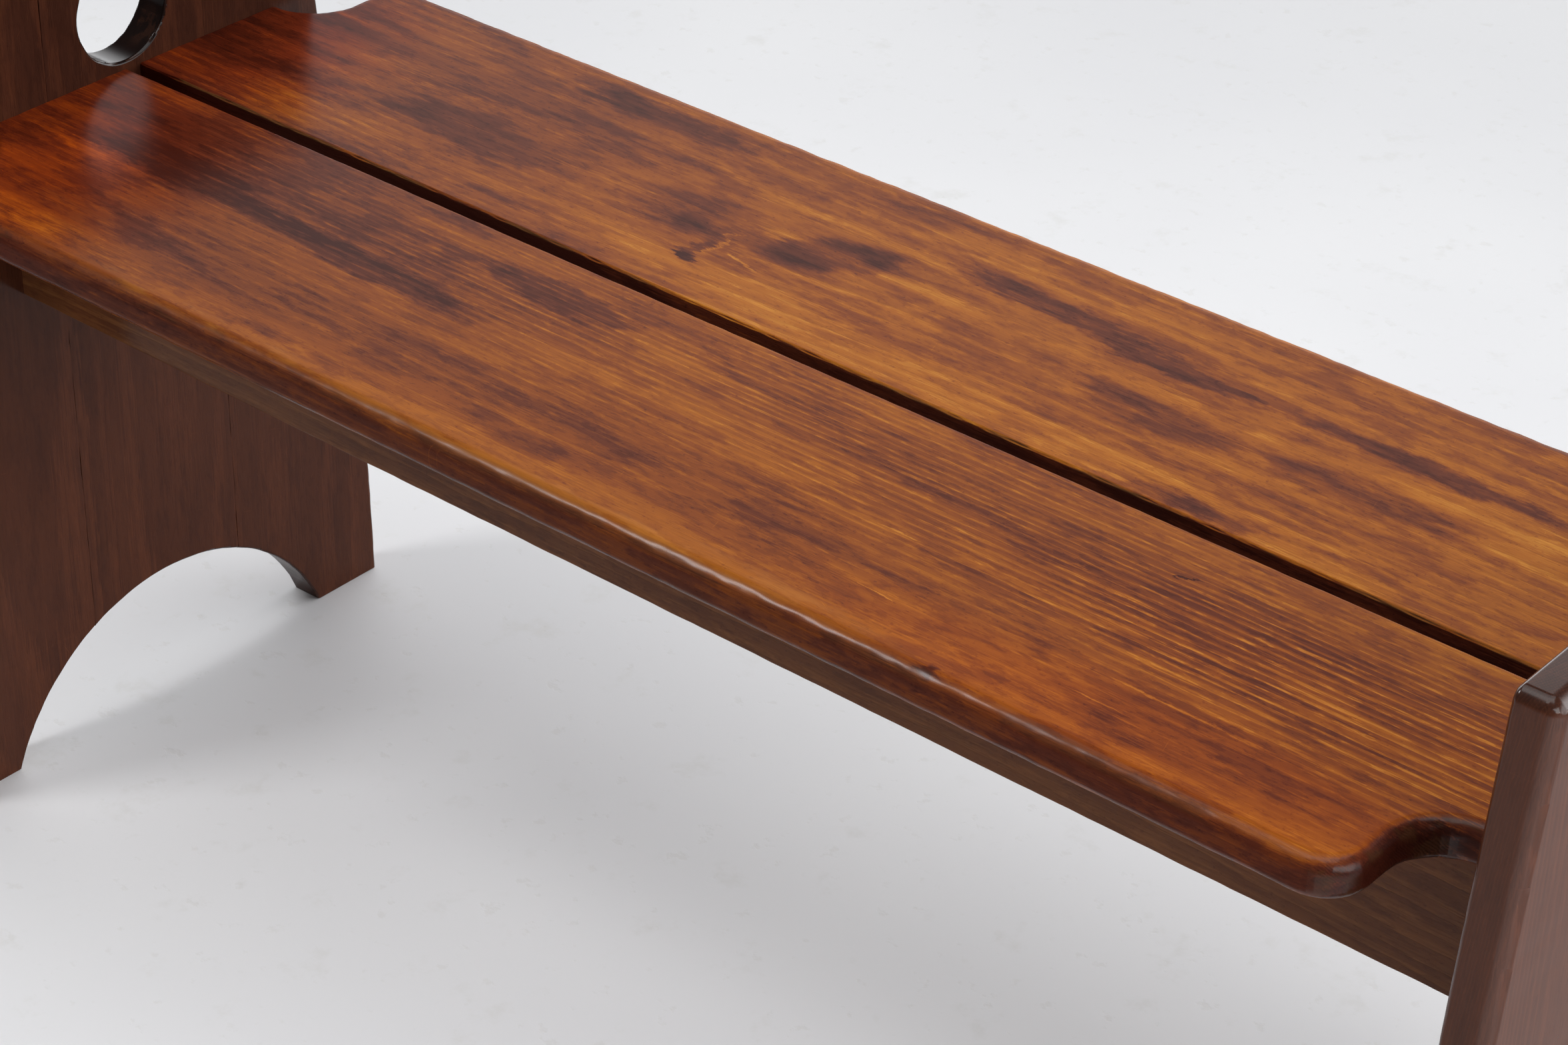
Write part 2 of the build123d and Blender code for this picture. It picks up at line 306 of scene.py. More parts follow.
class WoodTools:
    """The shader groups that the bench's wooden finishes share."""

    def __init__(self) -> None:
        """Build each group once."""
        self.fibres = self._fibres()
        self.rings = self._rings()
        self.torn = self._torn()
        self.cloud = self._cloud()
        self.arris = self._arris()
        self.scratches = self._scratches()
        self.file_marks = self._file_marks()

    def _stretch(self, sheet: Sheet, given: dict) -> bpy.types.NodeSocket:
        """Position counted in runs along the grain and in widths across it."""
        reach = sheet.node("ShaderNodeCombineXYZ")
        for socket, name in zip(reach.inputs, ("Run", "Width", "Width")):
            sheet.feed(socket, given[name])
        return sheet.vector("DIVIDE", given["Position"], reach.outputs[0])

    def _fibres(self) -> bpy.types.NodeTree:
        """Noise stretched along the grain: a run and a width set its features."""
        sheet, given, leave = start_group(
            "fibres", ("Position",), ("Run", "Width", "Detail", "Roughness"), ("Value",)
        )
        place = self._stretch(sheet, given)
        pattern = sheet.noise(place, given["Detail"], given["Roughness"])
        sheet.feed(leave.inputs["Value"], pattern.outputs[0])
        return sheet.tree

    def _rings(self) -> bpy.types.NodeTree:
        """Growth rings round a pith line that wanders: late wood mask and a tone per ring."""
        sheet, given, leave = start_group(
            "growth_rings",
            ("Position", "Pith"),
            ("Spacing", "Wander", "Fray"),
            ("Late Wood", "Early Line", "Tone"),
        )
        slow = sheet.noise(sheet.vector("MULTIPLY", given["Position"], (1.7, 5.0, 5.0)), 1.5)
        shift = sheet.vector("SUBTRACT", slow.outputs[1], (0.5, 0.5, 0.5))
        shift = sheet.vector("SCALE", shift, given["Wander"])
        place = sheet.vector("ADD", given["Position"], shift)
        away = sheet.vector("SUBTRACT", place, given["Pith"])
        radius = sheet.vector("LENGTH", sheet.vector("MULTIPLY", away, (0.0, 1.0, 1.0)))
        swell = sheet.node("ShaderNodeTexNoise", noise_dimensions="1D")
        sheet.feed(swell.inputs["W"], radius)
        sheet.feed(swell.inputs["Scale"], 45.0)
        uneven = sheet.math("MULTIPLY", sheet.math("SUBTRACT", swell.outputs[0], 0.5), 1.6)
        count = sheet.math("ADD", sheet.math("DIVIDE", radius, given["Spacing"]), uneven)
        hairs = sheet.vector("MULTIPLY", given["Position"], (24.0, 640.0, 640.0))
        hair = sheet.noise(hairs, 3.0, 0.6).outputs[0]
        turn = sheet.add(count, sheet.math("SUBTRACT", hair, 0.5), given["Fray"])
        part = sheet.math("FRACT", turn)
        rise = sheet.ease(part, 0.12, 0.50)
        fall = sheet.ease(part, 0.88, 1.0, 1.0, 0.0)
        sheet.feed(leave.inputs["Late Wood"], sheet.math("MULTIPLY", rise, fall))
        start = sheet.ease(part, 0.0, 0.07)
        stop = sheet.ease(part, 0.12, 0.24, 1.0, 0.0)
        sheet.feed(leave.inputs["Early Line"], sheet.math("MULTIPLY", start, stop))
        tone = sheet.node("ShaderNodeTexWhiteNoise", noise_dimensions="1D")
        sheet.feed(tone.inputs["W"], sheet.math("FLOOR", turn))
        sheet.feed(leave.inputs["Tone"], tone.outputs["Value"])
        return sheet.tree

    def _torn(self) -> bpy.types.NodeTree:
        """Ragged patches drawn out along the grain: 1 inside them, with a fairly crisp edge."""
        sheet, given, leave = start_group(
            "torn_stain", ("Position",), ("Run", "Width", "Level", "Blur"), ("Mask",)
        )
        place = self._stretch(sheet, given)
        pattern = sheet.noise(place, 7.0, 0.62)
        low = sheet.math("SUBTRACT", given["Level"], given["Blur"])
        high = sheet.math("ADD", given["Level"], given["Blur"])
        sheet.feed(leave.inputs["Mask"], sheet.ease(pattern.outputs[0], low, high))
        return sheet.tree

    def _cloud(self) -> bpy.types.NodeTree:
        """Leaning ellipse round a centre: 1 inside, 0 outside, its edge as soft as asked."""
        sheet, given, leave = start_group(
            "cloud", ("Position", "Centre", "Reach"), ("Lean", "Softness"), ("Mask",)
        )
        away = sheet.vector("SUBTRACT", given["Position"], given["Centre"])
        rise = sheet.node("ShaderNodeCombineXYZ")
        sheet.feed(rise.inputs[1], sheet.math("MULTIPLY", sheet.split(away)[0], given["Lean"]))
        away = sheet.vector("SUBTRACT", away, rise.outputs[0])
        distance = sheet.vector("LENGTH", sheet.vector("DIVIDE", away, given["Reach"]))
        inner = sheet.math("SUBTRACT", 1.0, given["Softness"])
        outer = sheet.math("ADD", 1.0, given["Softness"])
        sheet.feed(leave.inputs["Mask"], sheet.ease(distance, inner, outer, 1.0, 0.0))
        return sheet.tree

    def _arris(self) -> bpy.types.NodeTree:
        """Rounded edges, found from the surface's own direction: 0 on flats, 1 midway round."""
        sheet, given, leave = start_group("arris", ("Normal",), (), ("Mask",))
        split = sheet.split(sheet.vector("ABSOLUTE", given["Normal"]))
        greatest = sheet.math("MAXIMUM", split[0], split[1])
        greatest = sheet.math("MAXIMUM", greatest, split[2])
        sheet.feed(leave.inputs["Mask"], sheet.ease(greatest, 0.985, 0.80))
        return sheet.tree

    def _scratches(self) -> bpy.types.NodeTree:
        """Sparse hair-thin scratches that run three ways across the grain."""
        sheet, given, leave = start_group("scratches", ("Position",), ("Level",), ("Mask",))
        total = None
        for turn in (0.45, -0.70, 1.30):
            place = sheet.node("ShaderNodeVectorRotate", rotation_type="Z_AXIS")
            sheet.feed(place.inputs["Vector"], given["Position"])
            sheet.feed(place.inputs["Angle"], turn)
            thin = sheet.vector("MULTIPLY", place.outputs[0], (45.0, 1500.0, 1.0))
            top = sheet.math("ADD", given["Level"], 0.04)
            line = sheet.ease(sheet.noise(thin, 1.0).outputs[0], given["Level"], top)
            total = line if total is None else sheet.math("MAXIMUM", total, line)
        sheet.feed(leave.inputs["Mask"], total)
        return sheet.tree

    def _file_marks(self) -> bpy.types.NodeTree:
        """Slanting ridges that a file leaves on end grain."""
        sheet, given, leave = start_group("file_marks", ("Position",), ("Pitch",), ("Height",))
        split = sheet.split(sheet.vector("DIVIDE", given["Position"], given["Pitch"]))
        slant = sheet.math("ADD", split[1], sheet.math("MULTIPLY", split[2], 0.7))
        wobble = sheet.noise(sheet.vector("SCALE", given["Position"], 160.0), 2.0)
        slant = sheet.math("ADD", slant, sheet.math("MULTIPLY", wobble.outputs[0], 2.4))
        wave = sheet.math("SINE", sheet.math("MULTIPLY", slant, math.tau))
        sheet.feed(leave.inputs["Height"], sheet.math("MULTIPLY", wave, wobble.outputs[0]))
        return sheet.tree


# ---------------------------------------------------------------- finishes
def display(red: int, green: int, blue: int) -> Colour:
    """Linear colour of a display colour given as 0 to 255.

    Args:
        red: Red part.
        green: Green part.
        blue: Blue part.

    Returns:
        The linear colour.
    """
    return tuple(Color((red / 255, green / 255, blue / 255)).from_srgb_to_scene_linear())


@dataclass(frozen=True)
class Cloud:
    """A darker or paler cloud in a board's stain, or a cloud of painted shade."""

    along: float
    across: float
    half_run: float
    half_width: float
    depth: float
    softness: float = 0.25
    lean: float = 0.0


@dataclass(frozen=True)
class Pattern:
    """Scale of a pattern that is drawn out along the grain."""

    run: float
    width: float
    level: float = 0.5
    blur: float = 0.05
    detail: float = 3.0
    roughness: float = 0.6


BROAD = Pattern(run=0.26, width=0.022, detail=5.0, roughness=0.55)
PATCH = Pattern(run=0.062, width=0.014, level=0.53)
FLECK = Pattern(run=0.014, width=0.0048, level=0.54, blur=0.06)
SPECK = Pattern(run=0.0036, width=0.0016, level=0.64, blur=0.04)
STREAK = Pattern(run=0.032, width=0.0011, level=0.60)
HAIR = Pattern(run=0.05, width=0.0009)
DASH = Pattern(run=0.013, width=0.0032, detail=5.0, roughness=0.66)
RING_FRAY = 1.1
FILE_PITCH = 1.6 * MILLIMETRE
SCRATCH_LEVEL = 0.80


@dataclass(frozen=True)
class Gloss:
    """The varnish over a stained piece."""

    roughness: float = 0.50
    specular: float = 0.0
    coat: float = 0.12
    arris_coat: float = 1.0
    coat_roughness: float = 0.17
    relief: float = 0.30 * MILLIMETRE
    file_ridge: float = 1.2
    arris_ridge: float = 1.6


@dataclass(frozen=True)
class PineFinish:
    """Stained and varnished pine, with some painted shade: every depth says how much a thing
    darkens or lightens it.
    """

    name: str
    tones: tuple[tuple[float, Colour], ...]
    grain: Grain = Grain.ALONG
    shift: Triple = (0.0, 0.0, 0.0)
    pith: Triple = (0.0, 0.0, 0.0)
    ring_spacing: float = 0.005
    wander: float = 0.02
    ring_depth: float = 0.25
    ring_places: tuple[Cloud, ...] = ()
    ground: float = 0.30
    broad_depth: float = 0.12
    patch_depth: float = 0.20
    fleck_depth: float = 0.14
    streak_depth: float = 0.10
    speck_depth: float = 0.20
    fibre_depth: float = 0.08
    gold_depth: float = 0.05
    scratch_depth: float = 0.18
    face: int = 2
    # painted shade on the faces that turn away from the broad faces
    painted_side_shade: float = 0.0
    end_depth: float = 0.08
    clouds: tuple[Cloud, ...] = ()
    marks: tuple[Cloud, ...] = ()
    # clouds of painted shade round the rims of hollows
    shaded_hollows: tuple[Cloud, ...] = ()
    blush: tuple[Cloud, ...] = ()
    blush_colour: Colour = (1.0, 0.52, 0.30)
    rubbed: tuple[Cloud, ...] = ()
    rubbed_colour: Colour = display(158, 96, 38)
    worn: Colour = (0.17, 0.085, 0.025)
    wear: float = 0.35
    gloss: Gloss = field(default_factory=Gloss)

    def make(self, tools: WoodTools) -> bpy.types.Material:
        """Build the material.

        Args:
            tools: The shared shader groups.

        Returns:
            The finished material.
        """
        material = bpy.data.materials.new(self.name)
        material.use_nodes = True
        PineSurface(self, tools, material).lay()
        return material


class PineSurface:
    """The nodes of one stained pine material."""

    def __init__(self, finish: PineFinish, tools: WoodTools, material: bpy.types.Material) -> None:
        """Lay out what the steps of the finish share.

        Args:
            finish: The finish to lay.
            tools: The shared shader groups.
            material: The material to fill.
        """
        self.finish = finish
        self.tools = tools
        self.sheet = Sheet(material.node_tree)
        self.shader = material.node_tree.nodes["Principled BSDF"]
        source = self.sheet.node("ShaderNodeTexCoord")
        normal = source.outputs["Normal"]
        self.turns = self.sheet.split(normal)
        self.place = self._grain_space(source.outputs["Object"])
        self.patch = self._torn(PATCH)
        self.fleck = self._torn(FLECK)
        self.hair = self._fibres(HAIR)
        self.dash = self._fibres(DASH)
        self.edge = self.sheet.use(tools.arris, normal=normal).outputs[0]
        along = "xyz".index(finish.grain.value[0])
        self.end = self.sheet.ease(self._facing(along), 0.15, 0.70)
        self.rings = self.sheet.use(
            tools.rings,
            position=self.place,
            pith=finish.pith,
            spacing=finish.ring_spacing,
            wander=finish.wander,
            fray=RING_FRAY,
        )

    def lay(self) -> None:
        """Feed the shader its colour, varnish and relief."""
        colour = self._rub(self._redden(self._tone(self._stain())))
        self.sheet.feed(self.shader.inputs["Base Color"], colour)
        self._varnish()
        self._relief()

    def _grain_space(self, place: bpy.types.NodeSocket) -> bpy.types.NodeSocket:
        """Turn a position so that the grain runs along its first axis, and shift it."""
        split = self.sheet.split(place)
        turned = self.sheet.node("ShaderNodeCombineXYZ")
        for socket, axis in zip(turned.inputs, self.finish.grain.value):
            self.sheet.feed(socket, split["xyz".index(axis)])
        return self.sheet.vector("ADD", turned.outputs[0], self.finish.shift)

    def _facing(self, axis: int) -> bpy.types.NodeSocket:
        """How squarely the surface faces along an axis, either way."""
        return self.sheet.math("ABSOLUTE", self.turns[axis])

    def _fibres(self, pattern: Pattern) -> bpy.types.NodeSocket:
        """Stretched noise at a pattern's scale."""
        return self.sheet.use(
            self.tools.fibres,
            position=self.place,
            run=pattern.run,
            width=pattern.width,
            detail=pattern.detail,
            roughness=pattern.roughness,
        ).outputs[0]

    def _torn(self, pattern: Pattern) -> bpy.types.NodeSocket:
        """Ragged patches at a pattern's scale."""
        return self.sheet.use(
            self.tools.torn,
            position=self.place,
            run=pattern.run,
            width=pattern.width,
            level=pattern.level,
            blur=pattern.blur,
        ).outputs[0]

    def _swing(self, value: object, size: float) -> bpy.types.NodeSocket:
        """Centre a 0 to 1 value on zero and give it a size."""
        return self.sheet.math("MULTIPLY", self.sheet.math("SUBTRACT", value, 0.5), 2.0 * size)

    def _clouds(self, clouds: tuple[Cloud, ...], torn: float = 1.0) -> bpy.types.NodeSocket:
        """Sum of some clouds, their outlines torn along the grain as much as asked."""
        sheet = self.sheet
        ragged = sheet.noise(sheet.vector("MULTIPLY", self.place, (30.0, 110.0, 110.0)), 6.0, 0.66)
        tear = sheet.vector("SUBTRACT", ragged.outputs[1], (0.5, 0.5, 0.5))
        tear = sheet.vector("MULTIPLY", tear, (0.10 * torn, 0.026 * torn, 0.0))
        torn_place = sheet.vector("ADD", self.place, tear)
        total = 0.0
        for cloud in clouds:
            along, across = self.finish.shift[0] + cloud.along, self.finish.shift[1] + cloud.across
            mask = sheet.use(
                self.tools.cloud,
                position=torn_place,
                centre=(along, across, 0.0),
                reach=(cloud.half_run, cloud.half_width, 10.0),
                lean=cloud.lean,
                softness=cloud.softness,
            ).outputs[0]
            total = sheet.add(total, mask, cloud.depth)
        return total

    def _stain(self) -> bpy.types.NodeSocket:
        """Depth of the stain, 0 pale to 1 dark, with painted shade added where the finish asks for
        it.
        """
        sheet, finish = self.sheet, self.finish
        broad = self._fibres(BROAD)
        fleck = sheet.math("MULTIPLY", self.fleck, sheet.ease(broad, 0.35, 0.6, 0.3, 1.0))
        shade = sheet.add(finish.ground, self._swing(broad, 2.0 * finish.broad_depth))
        shade = sheet.add(shade, self.patch, finish.patch_depth)
        shade = sheet.add(shade, fleck, finish.fleck_depth)
        shade = sheet.add(shade, self._torn(SPECK), finish.speck_depth)
        shade = sheet.add(shade, self._torn(STREAK), -finish.streak_depth)
        shade = sheet.add(shade, self._swing(self.hair, finish.fibre_depth))
        shade = sheet.add(shade, self.end, finish.end_depth)
        shade = self._ring_shade(shade)
        for clouds, torn in ((finish.clouds, 1.0), (finish.marks, 0.45)):
            if clouds:
                shade = sheet.add(shade, self._clouds(clouds, torn))
        shade = self._paint_side_shade(shade)
        scratch = sheet.use(self.tools.scratches, position=self.place, level=SCRATCH_LEVEL)
        return sheet.add(shade, scratch.outputs[0], -finish.scratch_depth)

    def _ring_shade(self, shade: object) -> bpy.types.NodeSocket:
        """Darken each ring's late wood, and lighten the broken line that follows it."""
        sheet, finish = self.sheet, self.finish
        share = finish.ring_depth
        if finish.ring_places:
            share = sheet.add(share, self._clouds(finish.ring_places))
        shade = sheet.add(shade, self._swing(self.rings.outputs["Late Wood"], 0.5), share)
        shade = sheet.add(shade, self._swing(self.rings.outputs["Tone"], 0.3), share)
        gold = sheet.add(self.rings.outputs["Early Line"], self._swing(self.dash, 3.2))
        gold_share = sheet.math("MULTIPLY", sheet.add(finish.gold_depth, share), -0.9)
        return sheet.add(shade, sheet.ease(gold, 0.80, 1.40), gold_share)

    def _paint_side_shade(self, shade: object) -> bpy.types.NodeSocket:
        """Paint shade on what turns away from the board's broad faces, and round the rims of its
        hollows.
        """
        sheet, finish = self.sheet, self.finish
        facing = sheet.add(self._facing(finish.face), self._swing(self.dash, 0.05))
        shade = sheet.add(shade, sheet.ease(facing, 0.80, 0.50), finish.painted_side_shade)
        if finish.shaded_hollows:
            # painted shade round the rims of the hollows
            shade_rim = sheet.ease(facing, 0.975, 0.85)
            shade = sheet.add(shade, shade_rim, self._clouds(finish.shaded_hollows, 0.0))
        return shade

    def _tone(self, shade: object) -> bpy.types.NodeSocket:
        """Turn the stain's depth into its colour."""
        ramp = self.sheet.node("ShaderNodeValToRGB")
        stops = ramp.color_ramp.elements
        while len(stops) < len(self.finish.tones):
            stops.new(0.5)
        for stop, (place, colour) in zip(stops, self.finish.tones):
            stop.position = place
            stop.color = (*colour, 1.0)
        self.sheet.feed(ramp.inputs[0], shade)
        return ramp.outputs[0]

    def _redden(self, colour: object) -> object:
        """Warm the colour where the stain has turned red."""
        if not self.finish.blush:
            return colour
        red = self.sheet.math("MINIMUM", self._clouds(self.finish.blush), 1.0)
        return self.sheet.mix(red, colour, self.finish.blush_colour, "MULTIPLY")

    def _rub(self, colour: object) -> bpy.types.NodeSocket:
        """Lighten the colour where hands have rubbed the top and the arrises."""
        sheet, finish = self.sheet, self.finish
        if finish.rubbed:
            bare = sheet.math("MULTIPLY", self._clouds(finish.rubbed, 0.5), self.patch, clamp=True)
            bare = sheet.math("MULTIPLY", bare, sheet.ease(self.turns[2], 0.6, 0.95))
            colour = sheet.mix(bare, colour, finish.rubbed_colour)
        worn = sheet.math("MULTIPLY", self.edge, self.patch)
        return sheet.mix(sheet.math("MULTIPLY", worn, finish.wear), colour, finish.worn)

    def _varnish(self) -> None:
        """Set the gloss, with more varnish left on the arrises."""
        gloss = self.finish.gloss
        rough = self.sheet.add(gloss.roughness, self.fleck, 0.12)
        self.sheet.feed(self.shader.inputs["Roughness"], rough)
        coat = self.sheet.ease(self.edge, 0.0, 0.6, gloss.coat, gloss.coat * gloss.arris_coat)
        self.sheet.feed(self.shader.inputs["Coat Weight"], coat)
        self.shader.inputs["Specular IOR Level"].default_value = gloss.specular
        self.shader.inputs["Coat Roughness"].default_value = gloss.coat_roughness

    def _relief(self) -> None:
        """Raise late wood, fibres and torn varnish, with file ridges on end grain."""
        sheet, gloss = self.sheet, self.finish.gloss
        ridge = sheet.use(self.tools.file_marks, position=self.place, pitch=FILE_PITCH).outputs[0]
        height = sheet.math("MULTIPLY", self.rings.outputs["Late Wood"], 0.6)
        height = sheet.add(height, self.hair, 0.5)
        height = sheet.add(height, self.fleck, 0.5)
        height = sheet.add(height, sheet.math("MULTIPLY", ridge, self.end), gloss.file_ridge)
        height = sheet.add(height, sheet.math("MULTIPLY", self.hair, self.edge), gloss.arris_ridge)
        bump = sheet.node("ShaderNodeBump")
        sheet.feed(bump.inputs["Strength"], 1.0)
        sheet.feed(bump.inputs["Distance"], gloss.relief)
        sheet.feed(bump.inputs["Height"], height)
        sheet.feed(self.shader.inputs["Normal"], bump.outputs[0])


@dataclass(frozen=True)
class MetalFinish:
    """Dull zinc-grey steel of the screws."""

    name: str = "zinc steel"
    colour: Colour = (0.46, 0.44, 0.40)

    def make(self) -> bpy.types.Material:
        """Build the material and return it."""
        material = bpy.data.materials.new(self.name)
        material.use_nodes = True
        sheet = Sheet(material.node_tree)
        shader = material.node_tree.nodes["Principled BSDF"]
        place = sheet.node("ShaderNodeTexCoord").outputs["Object"]
        cloudy = sheet.noise(sheet.vector("SCALE", place, 900.0), 4.0).outputs[0]
        dark = tuple(0.55 * part for part in self.colour)
        colour = sheet.mix(sheet.ease(cloudy, 0.4, 0.7), self.colour, dark)
        sheet.feed(shader.inputs["Base Color"], colour)
        sheet.feed(shader.inputs["Roughness"], sheet.ease(cloudy, 0.3, 0.7, 0.35, 0.6))
        shader.inputs["Metallic"].default_value = 1.0
        return material


# ---------------------------------------------------------------- meshes
def start_from(node: str) -> bmesh.types.BMesh:
    """Copy a CAD node's mesh with its doubles merged and its flats made whole.

    Args:
        node: The CAD node's name.

    Returns:
        The working mesh.
    """
    shape = bmesh.new()
    shape.from_mesh(bpy.data.objects[node].data)
    bmesh.ops.remove_doubles(shape, verts=shape.verts, dist=WELD)
    bmesh.ops.dissolve_limit(shape, angle_limit=FLAT_ANGLE, verts=shape.verts, edges=shape.edges)
    return shape


def cut_across(shape: bmesh.types.BMesh, axis: int, low: float, high: float, pitch: float) -> None:
    """Cut a mesh by even planes, to give it vertices to shape.

    Args:
        shape: The working mesh.
        axis: The axis that the planes stand across.
        low: Where the planes begin.
        high: Where the planes end.
        pitch: Distance between planes.
    """
    steps = int((high - low) / pitch)
    for step in range(1, steps):
        place = Vector((0.0, 0.0, 0.0))
        place[axis] = low + step * (high - low) / steps
        normal = Vector((0.0, 0.0, 0.0))
        normal[axis] = 1.0
        whole = shape.verts[:] + shape.edges[:] + shape.faces[:]
        bmesh.ops.bisect_plane(shape, geom=whole, dist=WELD, plane_co=place, plane_no=normal)


def finish_piece(shape: bmesh.types.BMesh, node: str) -> bpy.types.Object:
    """Turn a working mesh into a piece that stands for a CAD node.

    Args:
        shape: The working mesh, which is freed.
        node: The CAD node that it replaces.

    Returns:
        The piece.
    """
    name = f"worn_{node}"
    mesh = bpy.data.meshes.new(name)
    shape.to_mesh(mesh)
    shape.free()
    mesh.polygons.foreach_set("use_smooth", [True] * len(mesh.polygons))
    mesh.set_sharp_from_angle(angle=SHARP_ANGLE)
    piece = bpy.data.objects.new(name, mesh)
    bpy.context.scene.collection.objects.link(piece)
    weighted = piece.modifiers.new("even normals", "WEIGHTED_NORMAL")
    weighted.keep_sharp = True
    weighted.weight = 90
    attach(piece, BODY)
    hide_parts(node)
    LOG.info("%s: %d faces", name, len(mesh.polygons))
    return piece


def paint(piece: bpy.types.Object, material: bpy.types.Material) -> None:
    """Give a piece one material.

    Args:
        piece: The piece or CAD node.
        material: Its material.
    """
    if not piece.material_slots:
        piece.data.materials.append(material)
    for slot in piece.material_slots:
        slot.material = material


def wear_edges(shape: bmesh.types.BMesh, depth: float, size: Triple, seed: float) -> None:
    """Sink a mesh's rounded edges here and there, where use has worn them.

    Args:
        shape: The working mesh.
        depth: Deepest wear.
        size: Length of the worn places along each axis.
        seed: Where in the noise to read.
    """
    shape.normal_update()
    moves = []
    for vertex in shape.verts:
        flat = max(abs(part) for part in vertex.normal)
        rounded = min(1.0, max(0.0, (WEAR_BEGINS - flat) / WEAR_SPAN))
        if rounded == 0.0:
            continue
        place = Vector(tuple(part / length for part, length in zip(vertex.co, size)))
        amount = noise.fractal(place + Vector((seed, seed, seed)), 1.0, 2.0, 3)
        amount = max(0.0, WEAR_BIAS + amount)
        moves.append((vertex, -vertex.normal * depth * rounded * amount))
    for vertex, move in moves:
        vertex.co += move


# ---------------------------------------------------------------- the bench
SEAT_TONES = (
    (0.00, display(174, 112, 40)),
    (0.22, display(148, 85, 27)),
    (0.45, display(121, 63, 27)),
    (0.70, display(88, 43, 28)),
    (1.00, display(58, 27, 20)),
)
PANEL_TONES = (
    (0.00, display(122, 71, 43)),
    (0.35, display(90, 49, 31)),
    (0.70, display(54, 29, 20)),
    (1.00, display(22, 9, 6)),
)
APRON_TONES = (
    (0.00, display(122, 76, 44)),
    (0.40, display(94, 55, 34)),
    (1.00, display(54, 31, 22)),
)
UNDER_TONES = (
    (0.00, display(160, 118, 78)),
    (0.50, display(132, 92, 58)),
    (1.00, display(92, 60, 40)),
)
BEECH_TONES = (
    (0.00, display(214, 182, 142)),
    (1.00, display(188, 148, 108)),
)


